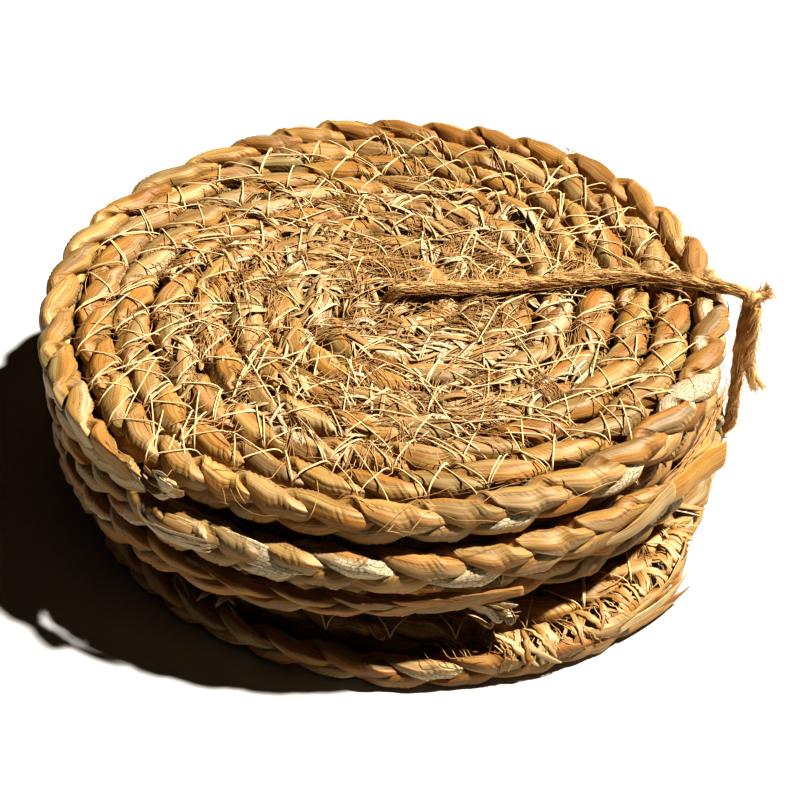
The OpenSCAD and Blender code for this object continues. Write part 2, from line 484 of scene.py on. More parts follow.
def press(verts):
    """Moves the vertices inside the mat's height and round outline, softly."""
    rad = np.hypot(verts[..., 0], verts[..., 1])
    soft = 0.9
    over = np.maximum(0, rad - (MAT_R - soft))
    verts[..., :2] *= (1 - (over - soft * (1 - np.exp(-over / soft)))
                       / np.maximum(rad, 1))[..., None]
    z = verts[..., 2]
    low = LOW_Z - 0.7 * (1 - np.exp(-(LOW_Z - z) / 0.7))
    high = HIGH_Z + 0.6 * (1 - np.exp(-(z - HIGH_Z) / 0.6))
    verts[..., 2] = np.where(z < LOW_Z, low, np.where(z > HIGH_Z, high, z))


def leaf_colours(s, leaf, frac, seed):
    """Tone and lattice of a strand's leaves, new where a new leaf is laid in, with painted shade in
    the crease where two leaves meet. leaf is each vertex's leaf, and frac how far across that leaf
    it is."""
    rng = np.random.default_rng(seed)
    tone = np.zeros((*leaf.shape, 3))
    lattice = np.zeros(leaf.shape)
    laid = 91  # leaves laid in one after the other, more than any strand needs
    for m in range(LEAVES):
        cuts = np.cumsum(rng.uniform(35, 120, laid - 1))
        pick = rng.choice(len(PALETTE), laid, p=SHARE)
        shade = rng.uniform(0.80, 1.18, laid)
        hue = rng.normal(0, 0.03, (laid, 3))
        seg = np.searchsorted(cuts, s)
        colour = PALETTE[pick[seg]] * (shade[seg])[:, None] * (1 + hue[seg])
        on = leaf == m
        tone = np.where(on[..., None], colour[:, None, :], tone)
        pale = (rng.random(laid) < 0.07)[seg] & (smooth_noise(s, 16, seed + 40 + m, 0, 1) > 0.42)
        lattice = np.where(on & pale[:, None] & (frac > 0.12) & (frac < 0.9), 1.0, lattice)
    lattice *= 0.5 + 0.5 * step01(frac, 0.1, 0.3)
    tone *= (1 + 0.10 * smooth_noise(s, 9, seed + 13))[:, None, None]
    tone *= (1 - 0.68 * step01(frac, 0.79, 1.0))[..., None]  # painted shade: a dark contact shadow in the crease where two leaves meet
    return tone, lattice


def strand(i, j, fine, coarse, fine_turns):
    """Strand j of mat i, along its path through the plait. Its rings are fine apart over
    the outer fine_turns turns, and coarse apart further in."""
    seed = 1000 * (i + 1) + 100 * j
    split = SPIRAL.of_theta(SPIRAL.end - 2 * math.pi * fine_turns)
    s = np.concatenate([np.arange(0, split, coarse), np.arange(split, SPIRAL.length - 1.0, fine)])
    p, n, theta = SPIRAL.at(s)
    size, rise, outward = taper(i, s, theta)

    def vary(share, cell, k):
        return 1 + share * smooth_noise(s, cell, seed + k)

    phi = plait_phase(i, j, s)
    up = UP_SWING * size * vary(0.12, 30, 1)
    out = OUT_SWING * size * vary(0.18, 24, 2)
    z = PLAIT_Z + 0.28 * smooth_noise(s, 40, 99 + i) + rise + up * np.sin(phi)
    aside = -out * np.sin(2 * phi) + outward + 0.38 * smooth_noise(s, 33, 88 + i)
    centre = np.concatenate([p + n * aside[:, None], z[:, None]], 1)
    tangent = unit(np.gradient(centre, axis=0))
    # the section lies flat along the way that the strand swings
    d_up, d_out = up * np.cos(phi), -2 * out * np.cos(2 * phi)
    flat = unit(np.concatenate([n * d_out[:, None], d_up[:, None]], 1))
    flat = unit(flat - tangent * (flat * tangent).sum(1, keepdims=True))
    thin = unit(np.cross(tangent, flat))
    roll = 0.22 * smooth_noise(s, 17, seed + 3)
    c, sn = np.cos(roll)[:, None], np.sin(roll)[:, None]
    flat, thin = flat * c + thin * sn, thin * c - flat * sn
    a = HALF_WIDE * size * vary(0.16, 13, 4)
    b = HALF_THICK * size * vary(0.16, 15, 5)
    v = np.linspace(0, 2 * math.pi, RING, endpoint=False)[None, :]
    cv, sv = np.cos(v), np.sin(v)
    ex = np.sign(cv) * np.abs(cv) ** 0.95 * a[:, None]
    ey = np.sign(sv) * np.abs(sv) ** 1.15 * b[:, None]

    # the leaves run straight along the strand while its flat section rolls over, and each
    # covers a part of the girth and steps down at its edge
    way = v - (np.unwrap(np.arctan2(d_up, d_out)) - roll)[:, None]
    turn = 0.55 * smooth_noise(s, 60, seed + 6) + s / 130.0 + 0.18 * smooth_noise(s, 22, seed + 7)
    around = (way / (2 * math.pi) * LEAVES + turn[:, None]) % LEAVES
    leaf = np.floor(around)
    frac = around - leaf
    lift = 0.42 * (frac ** 1.5) * (1 - step01(frac, 0.86, 1.0))

    def crease(height, waves, drift, cell, k, shift=0.0):
        drifted = drift * smooth_noise(s, cell, seed + k)[:, None] + shift
        return height * np.sin(waves * way + drifted)

    first_share = 0.4 + 0.6 * smooth_noise(s, 19, seed + 9, 0, 1)[:, None]
    creases = crease(0.11, 3, 2.2, 26, 8, 0.9) * first_share
    creases += crease(0.09, 7, 3.0, 31, 10) * smooth_noise(s, 14, seed + 11, 0, 1)[:, None]
    creases += crease(0.06, 13, 3.0, 40, 12)
    grow = (lift - 0.15 + creases) * np.minimum(1, size[:, None] * 1.2)
    radius = np.hypot(ex, ey)
    ex *= 1 + grow / np.maximum(radius, 1)
    ey *= 1 + grow / np.maximum(radius, 1)
    verts = (centre[:, None, :] + flat[:, None, :] * ex[..., None]
             + thin[:, None, :] * ey[..., None])
    press(verts)

    tone, lattice = leaf_colours(s, leaf, frac, seed)
    lattice = np.maximum(lattice, patches_on(i, j, verts, s, seed))
    rings = len(s)
    girth = way / (2 * math.pi) * GIRTH / 1000 + 0.31 * j
    along = np.broadcast_to((s / 1000 + 0.7 * j + 2.9 * i)[:, None], girth.shape)
    step = GIRTH / RING / 1000
    uv = np.stack([np.stack([along[:-1], girth[:-1]], -1),
                   np.stack([along[:-1], girth[:-1] + step], -1),
                   np.stack([along[1:], girth[1:] + step], -1),
                   np.stack([along[1:], girth[1:]], -1)], 2)
    caps = [np.arange(RING)[::-1], (rings - 1) * RING + np.arange(RING)]
    letter = "abc"[j]
    mesh(f"plait_{i + 1}_{letter}", place(i, verts.reshape(-1, 3)), grid_faces(rings, RING),
         BODIES[i], RUSH, tone.reshape(-1, 3), uv.reshape(-1, 2), lattice.ravel(),
         [f"mat_{i + 1}_strand_{letter}"], caps)


for i in range(4):
    for j in range(3):
        if i == 3:
            strand(i, j, 1.08, 1.08, TURNS)
        else:
            strand(i, j, 1.1, 2.6, 2.6)

# ------------------------------------------------------------------ threads, fibres, shreds


def tubes(paths, radius, sides, flatten=1.0, side_hint=(0.0, 0.0, 1.0)):
    """Many round or flat tubes at once. paths is (count, points, 3). flatten is a tube's
    thickness as a share of its width, and side_hint is the way that its thin side faces.
    Returns verts, faces and uv."""
    paths = np.asarray(paths, float)
    count, n, _ = paths.shape
    t = unit(np.gradient(paths, axis=1))
    a = unit(np.cross(np.broadcast_to(np.asarray(side_hint, float), t.shape), t) + 1e-6)
    b = np.cross(t, a)
    ang = np.linspace(0, 2 * math.pi, sides, endpoint=False)
    r = np.asarray(radius, float).reshape(count, n, 1, 1)
    v = paths[:, :, None, :] + r * (np.cos(ang)[:, None] * a[:, :, None, :]
                                    + np.sin(ang)[:, None] * flatten * b[:, :, None, :])
    verts = np.concatenate([v.reshape(count, n * sides, 3), paths[:, [0, -1]]], 1)
    starts = np.arange(count) * (n * sides + 2)
    faces = (tube_triangles(n, sides)[None] + starts[:, None, None]).reshape(-1, 3)
    length = np.cumsum(np.linalg.norm(np.diff(paths, axis=1), axis=2), 1)
    length = np.concatenate([np.zeros((count, 1)), length], 1)
    u = np.repeat(length[:, :, None], sides, 2).reshape(count, -1)
    u = np.concatenate([u, length[:, [0, -1]]], 1) / 1000
    girth = np.tile(ang, (count, n)) * radius.mean() / 1000
    girth = np.concatenate([girth, np.zeros((count, 2))], 1)
    shift = np.random.default_rng(5).uniform(0, 3, (count, 1))
    uv = np.stack([u + shift, girth + shift * 0.37], -1).reshape(-1, 2)
    return verts.reshape(-1, 3), faces, uv[faces.ravel()]


def top_height(xy, base, dip):
    """Height of the plait's upper side at points in a mat's own frame."""
    off = off_row(np.hypot(xy[..., 0], xy[..., 1]), np.arctan2(xy[..., 1], xy[..., 0]))
    return base - dip * np.minimum(1, np.abs(off) / 4.8) ** 2.5


def shades(count, per, colours, rng, spread=0.14):
    """One shade a piece for count pieces, repeated for each one's per vertices."""
    c = np.array(colours)[rng.integers(0, len(colours), count)]
    return np.repeat(c * rng.uniform(1 - spread, 1 + spread, (count, 1)), per, 0)


def stitches(i):
    """The sewing thread of mat i: over every stitched row a zigzag, its ends down between
    the rows."""
    rng = np.random.default_rng(500 + i)
    first = SPIRAL.of_theta(2 * math.pi * 1.35)
    last = SPIRAL.of_theta(SPIRAL.end - 2 * math.pi * 0.985)
    s = np.arange(first, last, PITCH / 6)
    s = s + rng.normal(0, 0.7, len(s))
    p, n, _ = SPIRAL.at(s)
    side = np.where(np.arange(len(s)) % 2 == 0, 1.0, -1.0)
    swing = 4.9 + rng.normal(0, 0.35, len(s))
    tip = p + n * (side * swing)[:, None]
    a, b = tip[:-1], tip[1:]
    keep = rng.random(len(a)) > 0.05
    a, b = a[keep], b[keep]
    # some runs are double, and on the top mat long loose ones lie over several rows
    twin = rng.random(len(a)) < 0.30
    a = np.concatenate([a, a[twin] + rng.normal(0, 0.5, (twin.sum(), 2))])
    b = np.concatenate([b, b[twin] + rng.normal(0, 0.8, (twin.sum(), 2))])
    if i == 3:
        loose = 120
        far, turn = rng.uniform(22, 76, loose), rng.uniform(0, 2 * math.pi, loose)
        head, reach = turn + rng.normal(0.9, 0.7, loose), rng.uniform(11, 30, loose)
        c = np.stack([far * np.cos(turn), far * np.sin(turn)], -1)
        e = c + np.stack([np.cos(head), np.sin(head)], -1) * reach[:, None]
        e *= np.minimum(1, 82 / np.hypot(e[:, 0], e[:, 1]))[:, None]
        a, b = np.concatenate([a, c]), np.concatenate([b, e])
    m, points, sides = len(a), 11, 6
    q = np.linspace(0, 1, points)[None, :]
    bow = rng.normal(0, 0.13, (m, 1)) * np.sin(math.pi * q)
    d = unit(b - a)
    across = np.stack([-d[:, 1], d[:, 0]], -1)
    xy = (a[:, None] * (1 - q[..., None]) + b[:, None] * q[..., None]
          + across[:, None] * bow[..., None])
    raised = np.where(rng.random((m, 1)) < 0.12, rng.uniform(0.1, 0.5, (m, 1)), 0.0)
    arch = 1 - np.abs(2 * q - 1) ** 5.0
    z = 7.6 + (2.75 + raised + rng.uniform(-0.1, 0.15, (m, 1))) * arch
    path = place(i, np.concatenate([xy, z[..., None]], -1))
    radius = np.full((m, points), 0.215) * rng.uniform(0.8, 1.15, (m, 1))
    v, f, uv = tubes(path, radius, sides)
    colours = [[1.0, 0.95, 0.86], [0.95, 0.86, 0.70], [0.9, 0.78, 0.6]]
    tone = shades(m, points * sides + 2, colours, rng)
    mesh(f"stitches_{i + 1}", v, f, BODIES[i], THREAD, tone, uv, nodes=[f"mat_{i + 1}_thread"])


STRAW = [[0.95, 0.80, 0.50], [0.85, 0.66, 0.36], [0.72, 0.52, 0.26], [1.0, 0.90, 0.66],
         [0.62, 0.42, 0.2]]
SHRED = [[0.50, 0.35, 0.17], [0.60, 0.46, 0.26], [0.42, 0.27, 0.12], [0.66, 0.55, 0.36]]
TOP_OF_MAT = 11.3  # the loose pieces on a mat stay below this height


def tangle(i, name, seed, locks, each, radii, power, lengths, width, high=1.1, turned=0.8,
           flatten=1.0, sides=4, look=STRAWS, colours=STRAW, pale=0.0):
    """Loose fibres or shreds on the upper side of mat i, between two radii, in locks of
    several that lie together."""
    rng = np.random.default_rng(seed)
    count, points = locks * each, 8

    def rep(x):
        return np.repeat(x, each, 0)

    rad = rep(radii[0] + (radii[1] - radii[0]) * rng.random(locks) ** power)
    ang = rep(rng.uniform(0, 2 * math.pi, locks))
    any_way = np.where(rng.random(locks) < 0.35, rng.uniform(0, 2 * math.pi, locks), 0)
    head = rep(any_way + rng.normal(0, turned, locks)) + ang + math.pi / 2
    head += rng.normal(0, 0.16, count)
    length = rep(rng.uniform(*lengths, locks)) * rng.uniform(0.6, 1.1, count)
    bend = rep(rng.normal(0, 0.055, locks)) * rng.uniform(0.7, 1.3, count)
    bend += rng.normal(0, 0.012, count)
    bend2 = rep(rng.normal(0, 0.005, locks)) + rng.normal(0, 0.0015, count)
    start = np.stack([rad * np.cos(ang), rad * np.sin(ang)], -1)
    start += rng.normal(0, 0.9, (count, 2))
    q = np.linspace(-0.5, 0.5, points)[None, :]
    l = q * length[:, None]
    heading = head[:, None] + bend[:, None] * l + bend2[:, None] * l * l
    hop = (length / (points - 1))[:, None]
    xy = start[:, None] + np.stack([np.cumsum(np.cos(heading) * hop, 1),
                                    np.cumsum(np.sin(heading) * hop, 1)], -1)
    r = np.hypot(xy[..., 0], xy[..., 1])
    xy *= np.minimum(1, (MAT_R - 1.5) / np.maximum(r, 1))[..., None]
    arch = rep(rng.uniform(0.1, high, (locks, 1))) * rng.uniform(0.5, 1.1, (count, 1))
    arch = arch * (1 - (2 * q) ** 2) + rng.uniform(-0.35, 0.15, (count, 1))
    sink = rep(rng.uniform(0, 2.2, (locks, 1))) * np.where(
        rep(rng.random((locks, 1))) < 0.5, np.maximum(0, 2 * q) ** 3, np.maximum(0, -2 * q) ** 3)
    z = np.minimum(top_height(xy, 9.9, 1.7) + arch - sink, TOP_OF_MAT)
    path = place(i, np.concatenate([xy, z[..., None]], -1))
    w = rng.uniform(*width, (count, 1)) * (1 - 0.75 * np.abs(2 * q) ** 4)
    v, f, uv = tubes(path, w, sides, flatten)
    per = points * sides + 2
    tone = shades(count, per, colours, rng)
    lattice = np.repeat((rng.random(count) < pale).astype(float), per) if pale else None
    mesh(name, v, f, BODIES[i], look, tone, uv, lattice)


def spline(points, n):
    """n points evenly spaced along a smooth curve through points, and its length."""
    p = np.asarray(points, float)
    p = np.concatenate([[2 * p[0] - p[1]], p, [2 * p[-1] - p[-2]]])
    out = []
    t = np.linspace(0, 1, 24, endpoint=False)[:, None]
    for a, b, c, d in zip(p[:-3], p[1:-2], p[2:-1], p[3:]):
        out.append(0.5 * (2 * b + (c - a) * t + (2 * a - 5 * b + 4 * c - d) * t * t
                          + (3 * b - a - 3 * c + d) * t ** 3))
    out = np.concatenate(out + [p[-2:-1]])
    s = np.concatenate([[0], np.cumsum(np.linalg.norm(np.diff(out, axis=0), axis=1))])
    even = np.linspace(0, s[-1], n)
    return np.stack([np.interp(even, s, out[:, k]) for k in range(3)], -1), s[-1]


def frames(line, hint):
    """Two ways square to a line at each of its points, the first one square to hint too."""
    t = unit(np.gradient(line, axis=0))
    a = unit(np.cross(t, np.broadcast_to(np.array(hint, float), t.shape)))
    return a, np.cross(t, a)


# The twine's routes are the CAD's, but for the loop's lower bend, which lies closer in
LOOP = [
    [87.5, 1.2, 47.2], [84, 2.2, 48], [78, 4.8, 47.5], [68, 7.4, 47.4], [57, 8.8, 47.4],
    [43, 7.2, 47.4], [28, 5.4, 47.5], [14, 4.2, 47.5], [5, 3.7, 47.6], [0, 3.4, 47.6],
    [-3, 3, 47.2], [-4.8, 2.6, 45.2], [-5.2, 2.2, 42], [-5.2, 1.8, 38], [-5.2, 1.4, 34.5],
    [-5, 0.6, 30], [-4.8, -0.2, 26], [-4.2, -0.9, 22], [-3.4, -1.4, 17.5], [-2.8, -1.8, 13.6],
    [-1.6, -2, 10.4], [-1, -2.1, 7], [-0.6, -1.9, 4], [1, -1.4, 2.2], [4, -0.8, 1.7],
    [8, -0.3, 1.6], [16, 0, 1.6], [28, 0, 1.6], [40, 0, 1.6], [52, 0, 1.6], [64, 0, 1.6],
    [76, 0, 1.6], [83, 0, 1.6], [85.6, 0, 2.1], [87.1, 0, 4.4], [87.4, 0, 8], [87.3, 0, 13],
    [87.4, 0.1, 19], [87.3, 0.3, 26], [87.4, 0.6, 33], [88, 0.8, 39], [88.8, 1, 43]]
LONG_TAIL = [
    [90.4, -0.8, 44], [89.9, -2.4, 41], [89.5, -3.1, 37], [89.3, -3.4, 32.5],
    [89.6, -3.6, 28], [90.6, -3.8, 24], [92.2, -4.1, 20.8], [93.2, -4.3, 19.2]]
SHORT_TAIL = [[91, 1.4, 45.8], [92.6, 2, 46.6], [94.2, 2.6, 47.4]]
JUTES = [[1.0, 0.9, 0.74], [0.86, 0.7, 0.5], [0.74, 0.56, 0.36], [1.0, 0.96, 0.86]]
PLY_APART = 0.66  # from the twine's middle to a ply's middle


def twine(name, points, node, seed, thick=0.92, wide=1.0, pitch=14.0, hint=(0, 1, 0), fray=0.0):
    """Two twisted plies along a route. Returns the route as a fine line."""
    length = spline(points, 400)[1]
    n, sides = max(24, int(length / 0.45)), 12
    line = spline(points, n)[0]
    a, b = frames(line, hint)
    s = np.linspace(0, length, n)
    ang = np.linspace(0, 2 * math.pi, sides, endpoint=False)
    around = ang / (2 * math.pi) * 0.0055 + s[:, None] / 3100 * 0.4
    ring, per = np.arange(sides), n * sides
    parts, caps = [], []
    for ply in range(2):
        turn = 2 * math.pi * s / pitch + math.pi * ply
        apart = PLY_APART * (1 + fray * step01(s, length * 0.55, length))
        c = line + (a * np.cos(turn)[:, None] * wide + b * np.sin(turn)[:, None]) * apart[:, None]
        aa, bb = frames(c, hint)
        lump = 1 + 0.10 * np.sin(4 * ang[None] + 2 * math.pi * s[:, None] / 3.1)
        r = thick * (lump + 0.07 * smooth_noise(s, 2.2, seed + ply)[:, None])
        if fray:
            r = r * (1 - 0.75 * step01(s, length - 2.0, length))[:, None]
        v = c[:, None] + (aa[:, None] * np.cos(ang)[None, :, None]
                          + bb[:, None] * np.sin(ang)[None, :, None]) * r[..., None]
        f = grid_faces(n, sides)
        along = np.repeat(s[:, None], sides, 1) / 1000 + ply
        uv = np.stack([along, around], -1).reshape(-1, 2)[f.ravel()]
        shade = 1 + 0.12 * np.repeat(smooth_noise(s, 4, seed + 9 + ply), sides)[:, None]
        tone = np.array([1.0, 0.90, 0.72]) * shade
        parts.append((v.reshape(-1, 3), f + ply * per, uv, tone))
        caps += [ply * per + ring[::-1], ply * per + per - sides + ring]
    v, f, uv, tone = (np.concatenate([p[k] for p in parts]) for k in range(4))
    mesh(name, v, f, "bottom_mat", JUTE, tone, uv, nodes=[node], caps=caps)
    return line


def hairs(name, line, count, seed, lengths, out, hug, stray, hint=(0, 1, 0)):
    """Fibres that lie along a twine, some of them standing out from it."""
    rng = np.random.default_rng(seed)
    n, points, sides = len(line), 8, 4
    step = np.linalg.norm(line[1] - line[0])
    a, b = frames(line, hint)
    length = rng.uniform(*lengths, count)
    at = rng.uniform(0, 1, count) * (n - 1)
    q = np.linspace(0, 1, points)[None, :]
    idx = np.clip(at[:, None] + (q - 0.5) * length[:, None] / step, 0, n - 1)
    i0 = np.floor(idx).astype(int)
    i1 = np.minimum(i0 + 1, n - 1)
    f = (idx - i0)[..., None]

    def between(x):
        return x[i0] * (1 - f) + x[i1] * f

    ang = rng.uniform(0, 2 * math.pi, (count, 1)) + q * rng.normal(0.9, 0.8, (count, 1))
    strayed = rng.random((count, 1)) < stray
    r = hug * rng.uniform(0.75, 1.12, (count, 1)) + np.where(
        strayed, rng.uniform(0.5, 3.2, (count, 1)) * q ** 2, out * q ** 2 * rng.random((count, 1)))
    path = between(line) + (between(a) * np.cos(ang)[..., None]
                            + between(b) * np.sin(ang)[..., None]) * r[..., None]
    path += rng.normal(0, 0.12, path.shape)
    path[..., 2] = np.maximum(path[..., 2], 0.15)  # above the floor
    beside = (path[..., 0] > 80) & (path[..., 2] > 11) & (path[..., 2] < 46.5)
    path[..., 0] = np.where(beside, np.maximum(path[..., 0], 86.3), path[..., 0])  # off the mats
    w = rng.uniform(0.05, 0.13, (count, 1)) * (1 - 0.6 * q)
    v, fc, uv = tubes(path, w, sides)
    tone = shades(count, points * sides + 2, JUTES, rng, 0.2)
    mesh(name, v, fc, "bottom_mat", JUTE, tone, uv)


for i in range(4):
    stitches(i)

tangle(3, "straw_top_locks", 901, 170, 11, (5, 56), 0.8, (9, 26), (0.08, 0.15), 1.4)
tangle(3, "straw_top_loose", 906, 520, 1, (6, 66), 0.8, (12, 34), (0.09, 0.19), 1.2)
tangle(3, "straw_top_rim", 902, 150, 1, (60, 86), 1.0, (10, 30), (0.08, 0.15), 0.9, 1.2)
tangle(3, "shreds_top", 903, 260, 2, (6, 58), 0.8, (6, 17), (0.35, 1.15),
       flatten=0.16, sides=6, look=RUSH, colours=SHRED, pale=0.22)
tangle(0, "straw_bottom", 904, 60, 7, (58, 84), 1.0, (8, 22), (0.08, 0.16))
tangle(0, "shreds_bottom", 905, 120, 2, (60, 79), 1.0, (6, 14), (0.4, 1.3), 1.2,
       flatten=0.2, sides=6, look=RUSH, colours=SHRED, pale=0.1)

# ------------------------------------------------------------------ single leaves


def spot(i, angle, radius, z):
    """A point on mat i at an angle in degrees from the stack's +X."""
    a = math.radians(angle)
    return place(i, np.array([radius * math.cos(a), radius * math.sin(a), z]), False)


def leaf(name, i, route, width, tone, seed, hint=None, lattice=0.0, thin=0.10, points=26,
         sides=12, ends=0.55, wave=0.25):
    """A flat piece of leaf through (angle, radius, height) stations on mat i. hint is the
    way its face looks, outward if None, and ends is the width of its ends as a share."""
    line, length = spline([spot(i, *r) for r in route], points)
    if hint is None:
        out = line - ORIGIN[i]
        out[:, 2] = 0
        hint = unit(out)
    else:
        hint = np.broadcast_to(unit(np.array(hint, float)), line.shape)
    q = np.linspace(0, 1, points)
    w = np.interp(q, np.linspace(0, 1, len(width)), width)
    w *= 1 + 0.06 * smooth_noise(q * length, 3, seed)
    w[[0, -1]] *= ends
    line = line + hint * (wave * smooth_noise(q * length, 5, seed + 1))[:, None]
    t = unit(np.gradient(line, axis=0))
    a = unit(np.cross(hint, t))
    b = np.cross(t, a)
    ang = np.linspace(0, 2 * math.pi, sides, endpoint=False)
    curl = 0.6 + 0.8 * smooth_noise(q * length, 6, seed + 2, 0, 1)
    cup = 0.12 * (np.cos(ang) ** 2)[None, :] * w[:, None] * curl[:, None]
    deep = np.sin(ang)[None] * thin * np.minimum(w, 2.5)[:, None] - cup
    wide = np.cos(ang)[None] * w[:, None]
    v = line[:, None] + a[:, None] * wide[..., None] + b[:, None] * deep[..., None]
    v = np.concatenate([v.reshape(-1, 3), line[[0, -1]]])
    f = tube_triangles(points, sides)
    u = np.concatenate([np.repeat(q * length, sides), [0, length]]) / 1000 + seed * 0.173
    g = np.concatenate([wide.ravel(), [0, 0]]) / 1000 + seed * 0.091
    shade = np.repeat(smooth_noise(q * length, 4, seed + 3), sides)
    shade = 1 + 0.12 * np.concatenate([shade, [0, 0]])
    mesh(name, v, f, BODIES[i], RUSH, np.array(tone) * shade[:, None],
         np.stack([u, g], -1)[f.ravel()], np.full(len(v), float(lattice)))


GOLD, PALE, HONEY, OLIVE = (
    [0.50, 0.285, 0.075], [0.60, 0.50, 0.33], [0.44, 0.19, 0.04], [0.33, 0.25, 0.12])
# the broad flat leaf at the end of the third mat, on the right
leaf("leaf_tab", 2, [(319.8, 90.3, 4.6), (322.5, 90.8, 4.8), (325.5, 91.5, 5.0),
                     (329, 92.8, 5.2), (332.4, 94.8, 5.4)],
     [4.2, 4.7, 5.1, 5.1, 4.7], [0.66, 0.33, 0.045], 11, thin=0.05, points=44, ends=0.97,
     wave=0.2)
leaf("leaf_tab_under", 2, [(305, 89.6, 2.2), (310, 90.5, 2.8), (315, 90.8, 4.0),
                           (320.5, 90.4, 5.2)],
     [0.8, 2.6, 3.4, 3.9], [0.58, 0.42, 0.20], 12, thin=0.06, points=40)
# the striped flat leaf and the pale ones beside it, which lie on the third mat's edge
# under the top mat's end
STRIPES = [(0.42, 0.29, 0.12), (0.48, 0.34, 0.16), (0.39, 0.25, 0.09), (0.47, 0.33, 0.15),
           (0.43, 0.30, 0.13)]
for n, tone in enumerate(STRIPES):
    leaf(f"leaf_left_{n + 1}", 2,
         [(231.0 + n * 0.4, 84.4 + 1.15 * n, 10.5 - 0.3 * n), (235, 84.6 + 1.1 * n, 10.5 - 0.3 * n),
          (239, 84.8 + 1.0 * n, 10.4 - 0.32 * n), (243, 85.0 + 0.9 * n, 10.3 - 0.34 * n),
          (247 - n * 0.8, 85.4 + 0.8 * n, 10.0 - 0.36 * n)],
         [0.7, 1.15, 1.2, 1.1, 0.5], tone, 130 + n, (-0.33, -0.55, 0.77), thin=0.06, points=34,
         wave=0.06)
leaf("leaf_left_pale", 2, [(240, 86.6, 9.4), (244.5, 87.4, 9.1), (249, 88.3, 8.5),
                           (253, 89.0, 7.7), (257, 89.4, 6.8)],
     [0.6, 2.3, 2.9, 2.5, 0.8], PALE, 151, (-0.33, -0.70, 0.63), 1.0, thin=0.06, points=40)
for n in range(4):
    leaf(f"leaf_left_curl_{n + 1}", 2,
         [(229.5 + 0.3 * n, 90.6, 13.6 - n * 0.8), (229.2 + 0.4 * n, 91.2, 11.0 - n * 0.7),
          (231.2 + 0.3 * n, 91.6, 8.9 - n * 0.5), (234.5, 91.6, 8.6 - n * 0.8),
          (238 + n, 90.9, 9.2 - n * 0.9), (242, 89.9, 9.6 - n)],
         [0.3, 0.7, 0.8, 0.7, 0.55, 0.25], PALE, 140 + n, lattice=0.25, thin=0.2)
# the long straight leaves at the bottom mat's end
for n, (route, width, tone, wave) in enumerate((
        ([(306, 89.8, 7.2), (311, 89.8, 7.6), (315.5, 89.6, 8.2), (320, 89.2, 9.0),
          (325, 89.0, 10.3)], [1.2, 1.8, 1.6, 1.2, 0.5], [0.62, 0.42, 0.16], 0.1),
        ([(303, 90.2, 5.6), (308, 90.6, 5.7), (312, 91.0, 6.0), (316, 91.4, 6.5),
          (320, 92.0, 7.6)], [1.0, 1.7, 1.6, 1.2, 0.4], [0.66, 0.52, 0.28], 0.1),
        ([(305, 90.4, 3.6), (309, 90.8, 3.3), (313.5, 91.4, 3.0), (317.5, 92.3, 3.3)],
         [0.9, 1.4, 1.2, 0.4], GOLD, 0.15),
        ([(311, 90.8, 5.0), (314, 91.4, 4.8), (316.5, 92.4, 4.6), (318.5, 93.4, 5.2)],
         [0.5, 1.0, 0.9, 0.35], HONEY, 0.15))):
    leaf(f"bottom_splay_{n + 1}", 0, route, width, tone, 161 + n, ends=0.5, wave=wave)


def torn_end(name, i, angle, height, out, seed, count, length, width, colours, pale, droop=0.0,
             lift=0.0):
    """Frayed pieces of leaf where a plait ends: they fan out along the rim."""
    rng = np.random.default_rng(seed)
    for n in range(count):
        a0 = angle - rng.uniform(1.0, 4.5)
        h0 = height + rng.uniform(-2.2, 2.2)
        span = math.degrees(length * rng.uniform(0.6, 1.25) / MAT_R)
        dh, do = rng.normal(lift, 1.3), rng.uniform(-0.4, 1.8)
        route = [(a0, 88.2 + out * 0.4, h0),
                 (a0 + span * 0.3, 88.8 + out + do * 0.3, h0 + dh * 0.2),
                 (a0 + span * 0.6, 89.0 + out + do * 0.8, h0 + dh * 0.6 - droop * 0.4),
                 (a0 + span * 0.85, 89.2 + out + do * 0.9, h0 + dh - droop * 0.8),
                 (a0 + span, 88.8 + out + do * rng.uniform(0.2, 1.3),
                  h0 + dh * rng.uniform(0.4, 1.3) - droop)]
        w = width * rng.uniform(0.5, 1.3)
        hint = None if rng.random() < 0.6 else rng.normal(0, 1, 3) + np.array([0, -0.6, 0.6])
        tone = colours[int(rng.integers(0, len(colours)))]
        lattice = 0.8 * float(rng.random() < pale)
        leaf(f"{name}_{n + 1}", i, route, [w * 0.8, w, w * 1.1, w * 0.9, w * 0.4], tone,
             seed + n, hint, lattice, points=20, sides=10, ends=0.35, wave=0.45)


torn_end("top_end_leaf", 3, 232.5, 7.0, 0.2, 201, 14, 8.0, 1.9,
         ([0.78, 0.68, 0.48], [0.68, 0.54, 0.32], [0.5, 0.33, 0.13]), 0.3)
torn_end("lower_end_leaf", 1, 286, 4.4, 0.4, 221, 8, 9.0, 1.5,
         ([0.42, 0.34, 0.21], GOLD, OLIVE), 0.25, droop=2.0)
torn_end("bottom_end_leaf", 0, 313, 5.6, 0.2, 241, 10, 11.0, 1.3,
         ([0.62, 0.42, 0.16], PALE, HONEY), 0.1, lift=0.6)


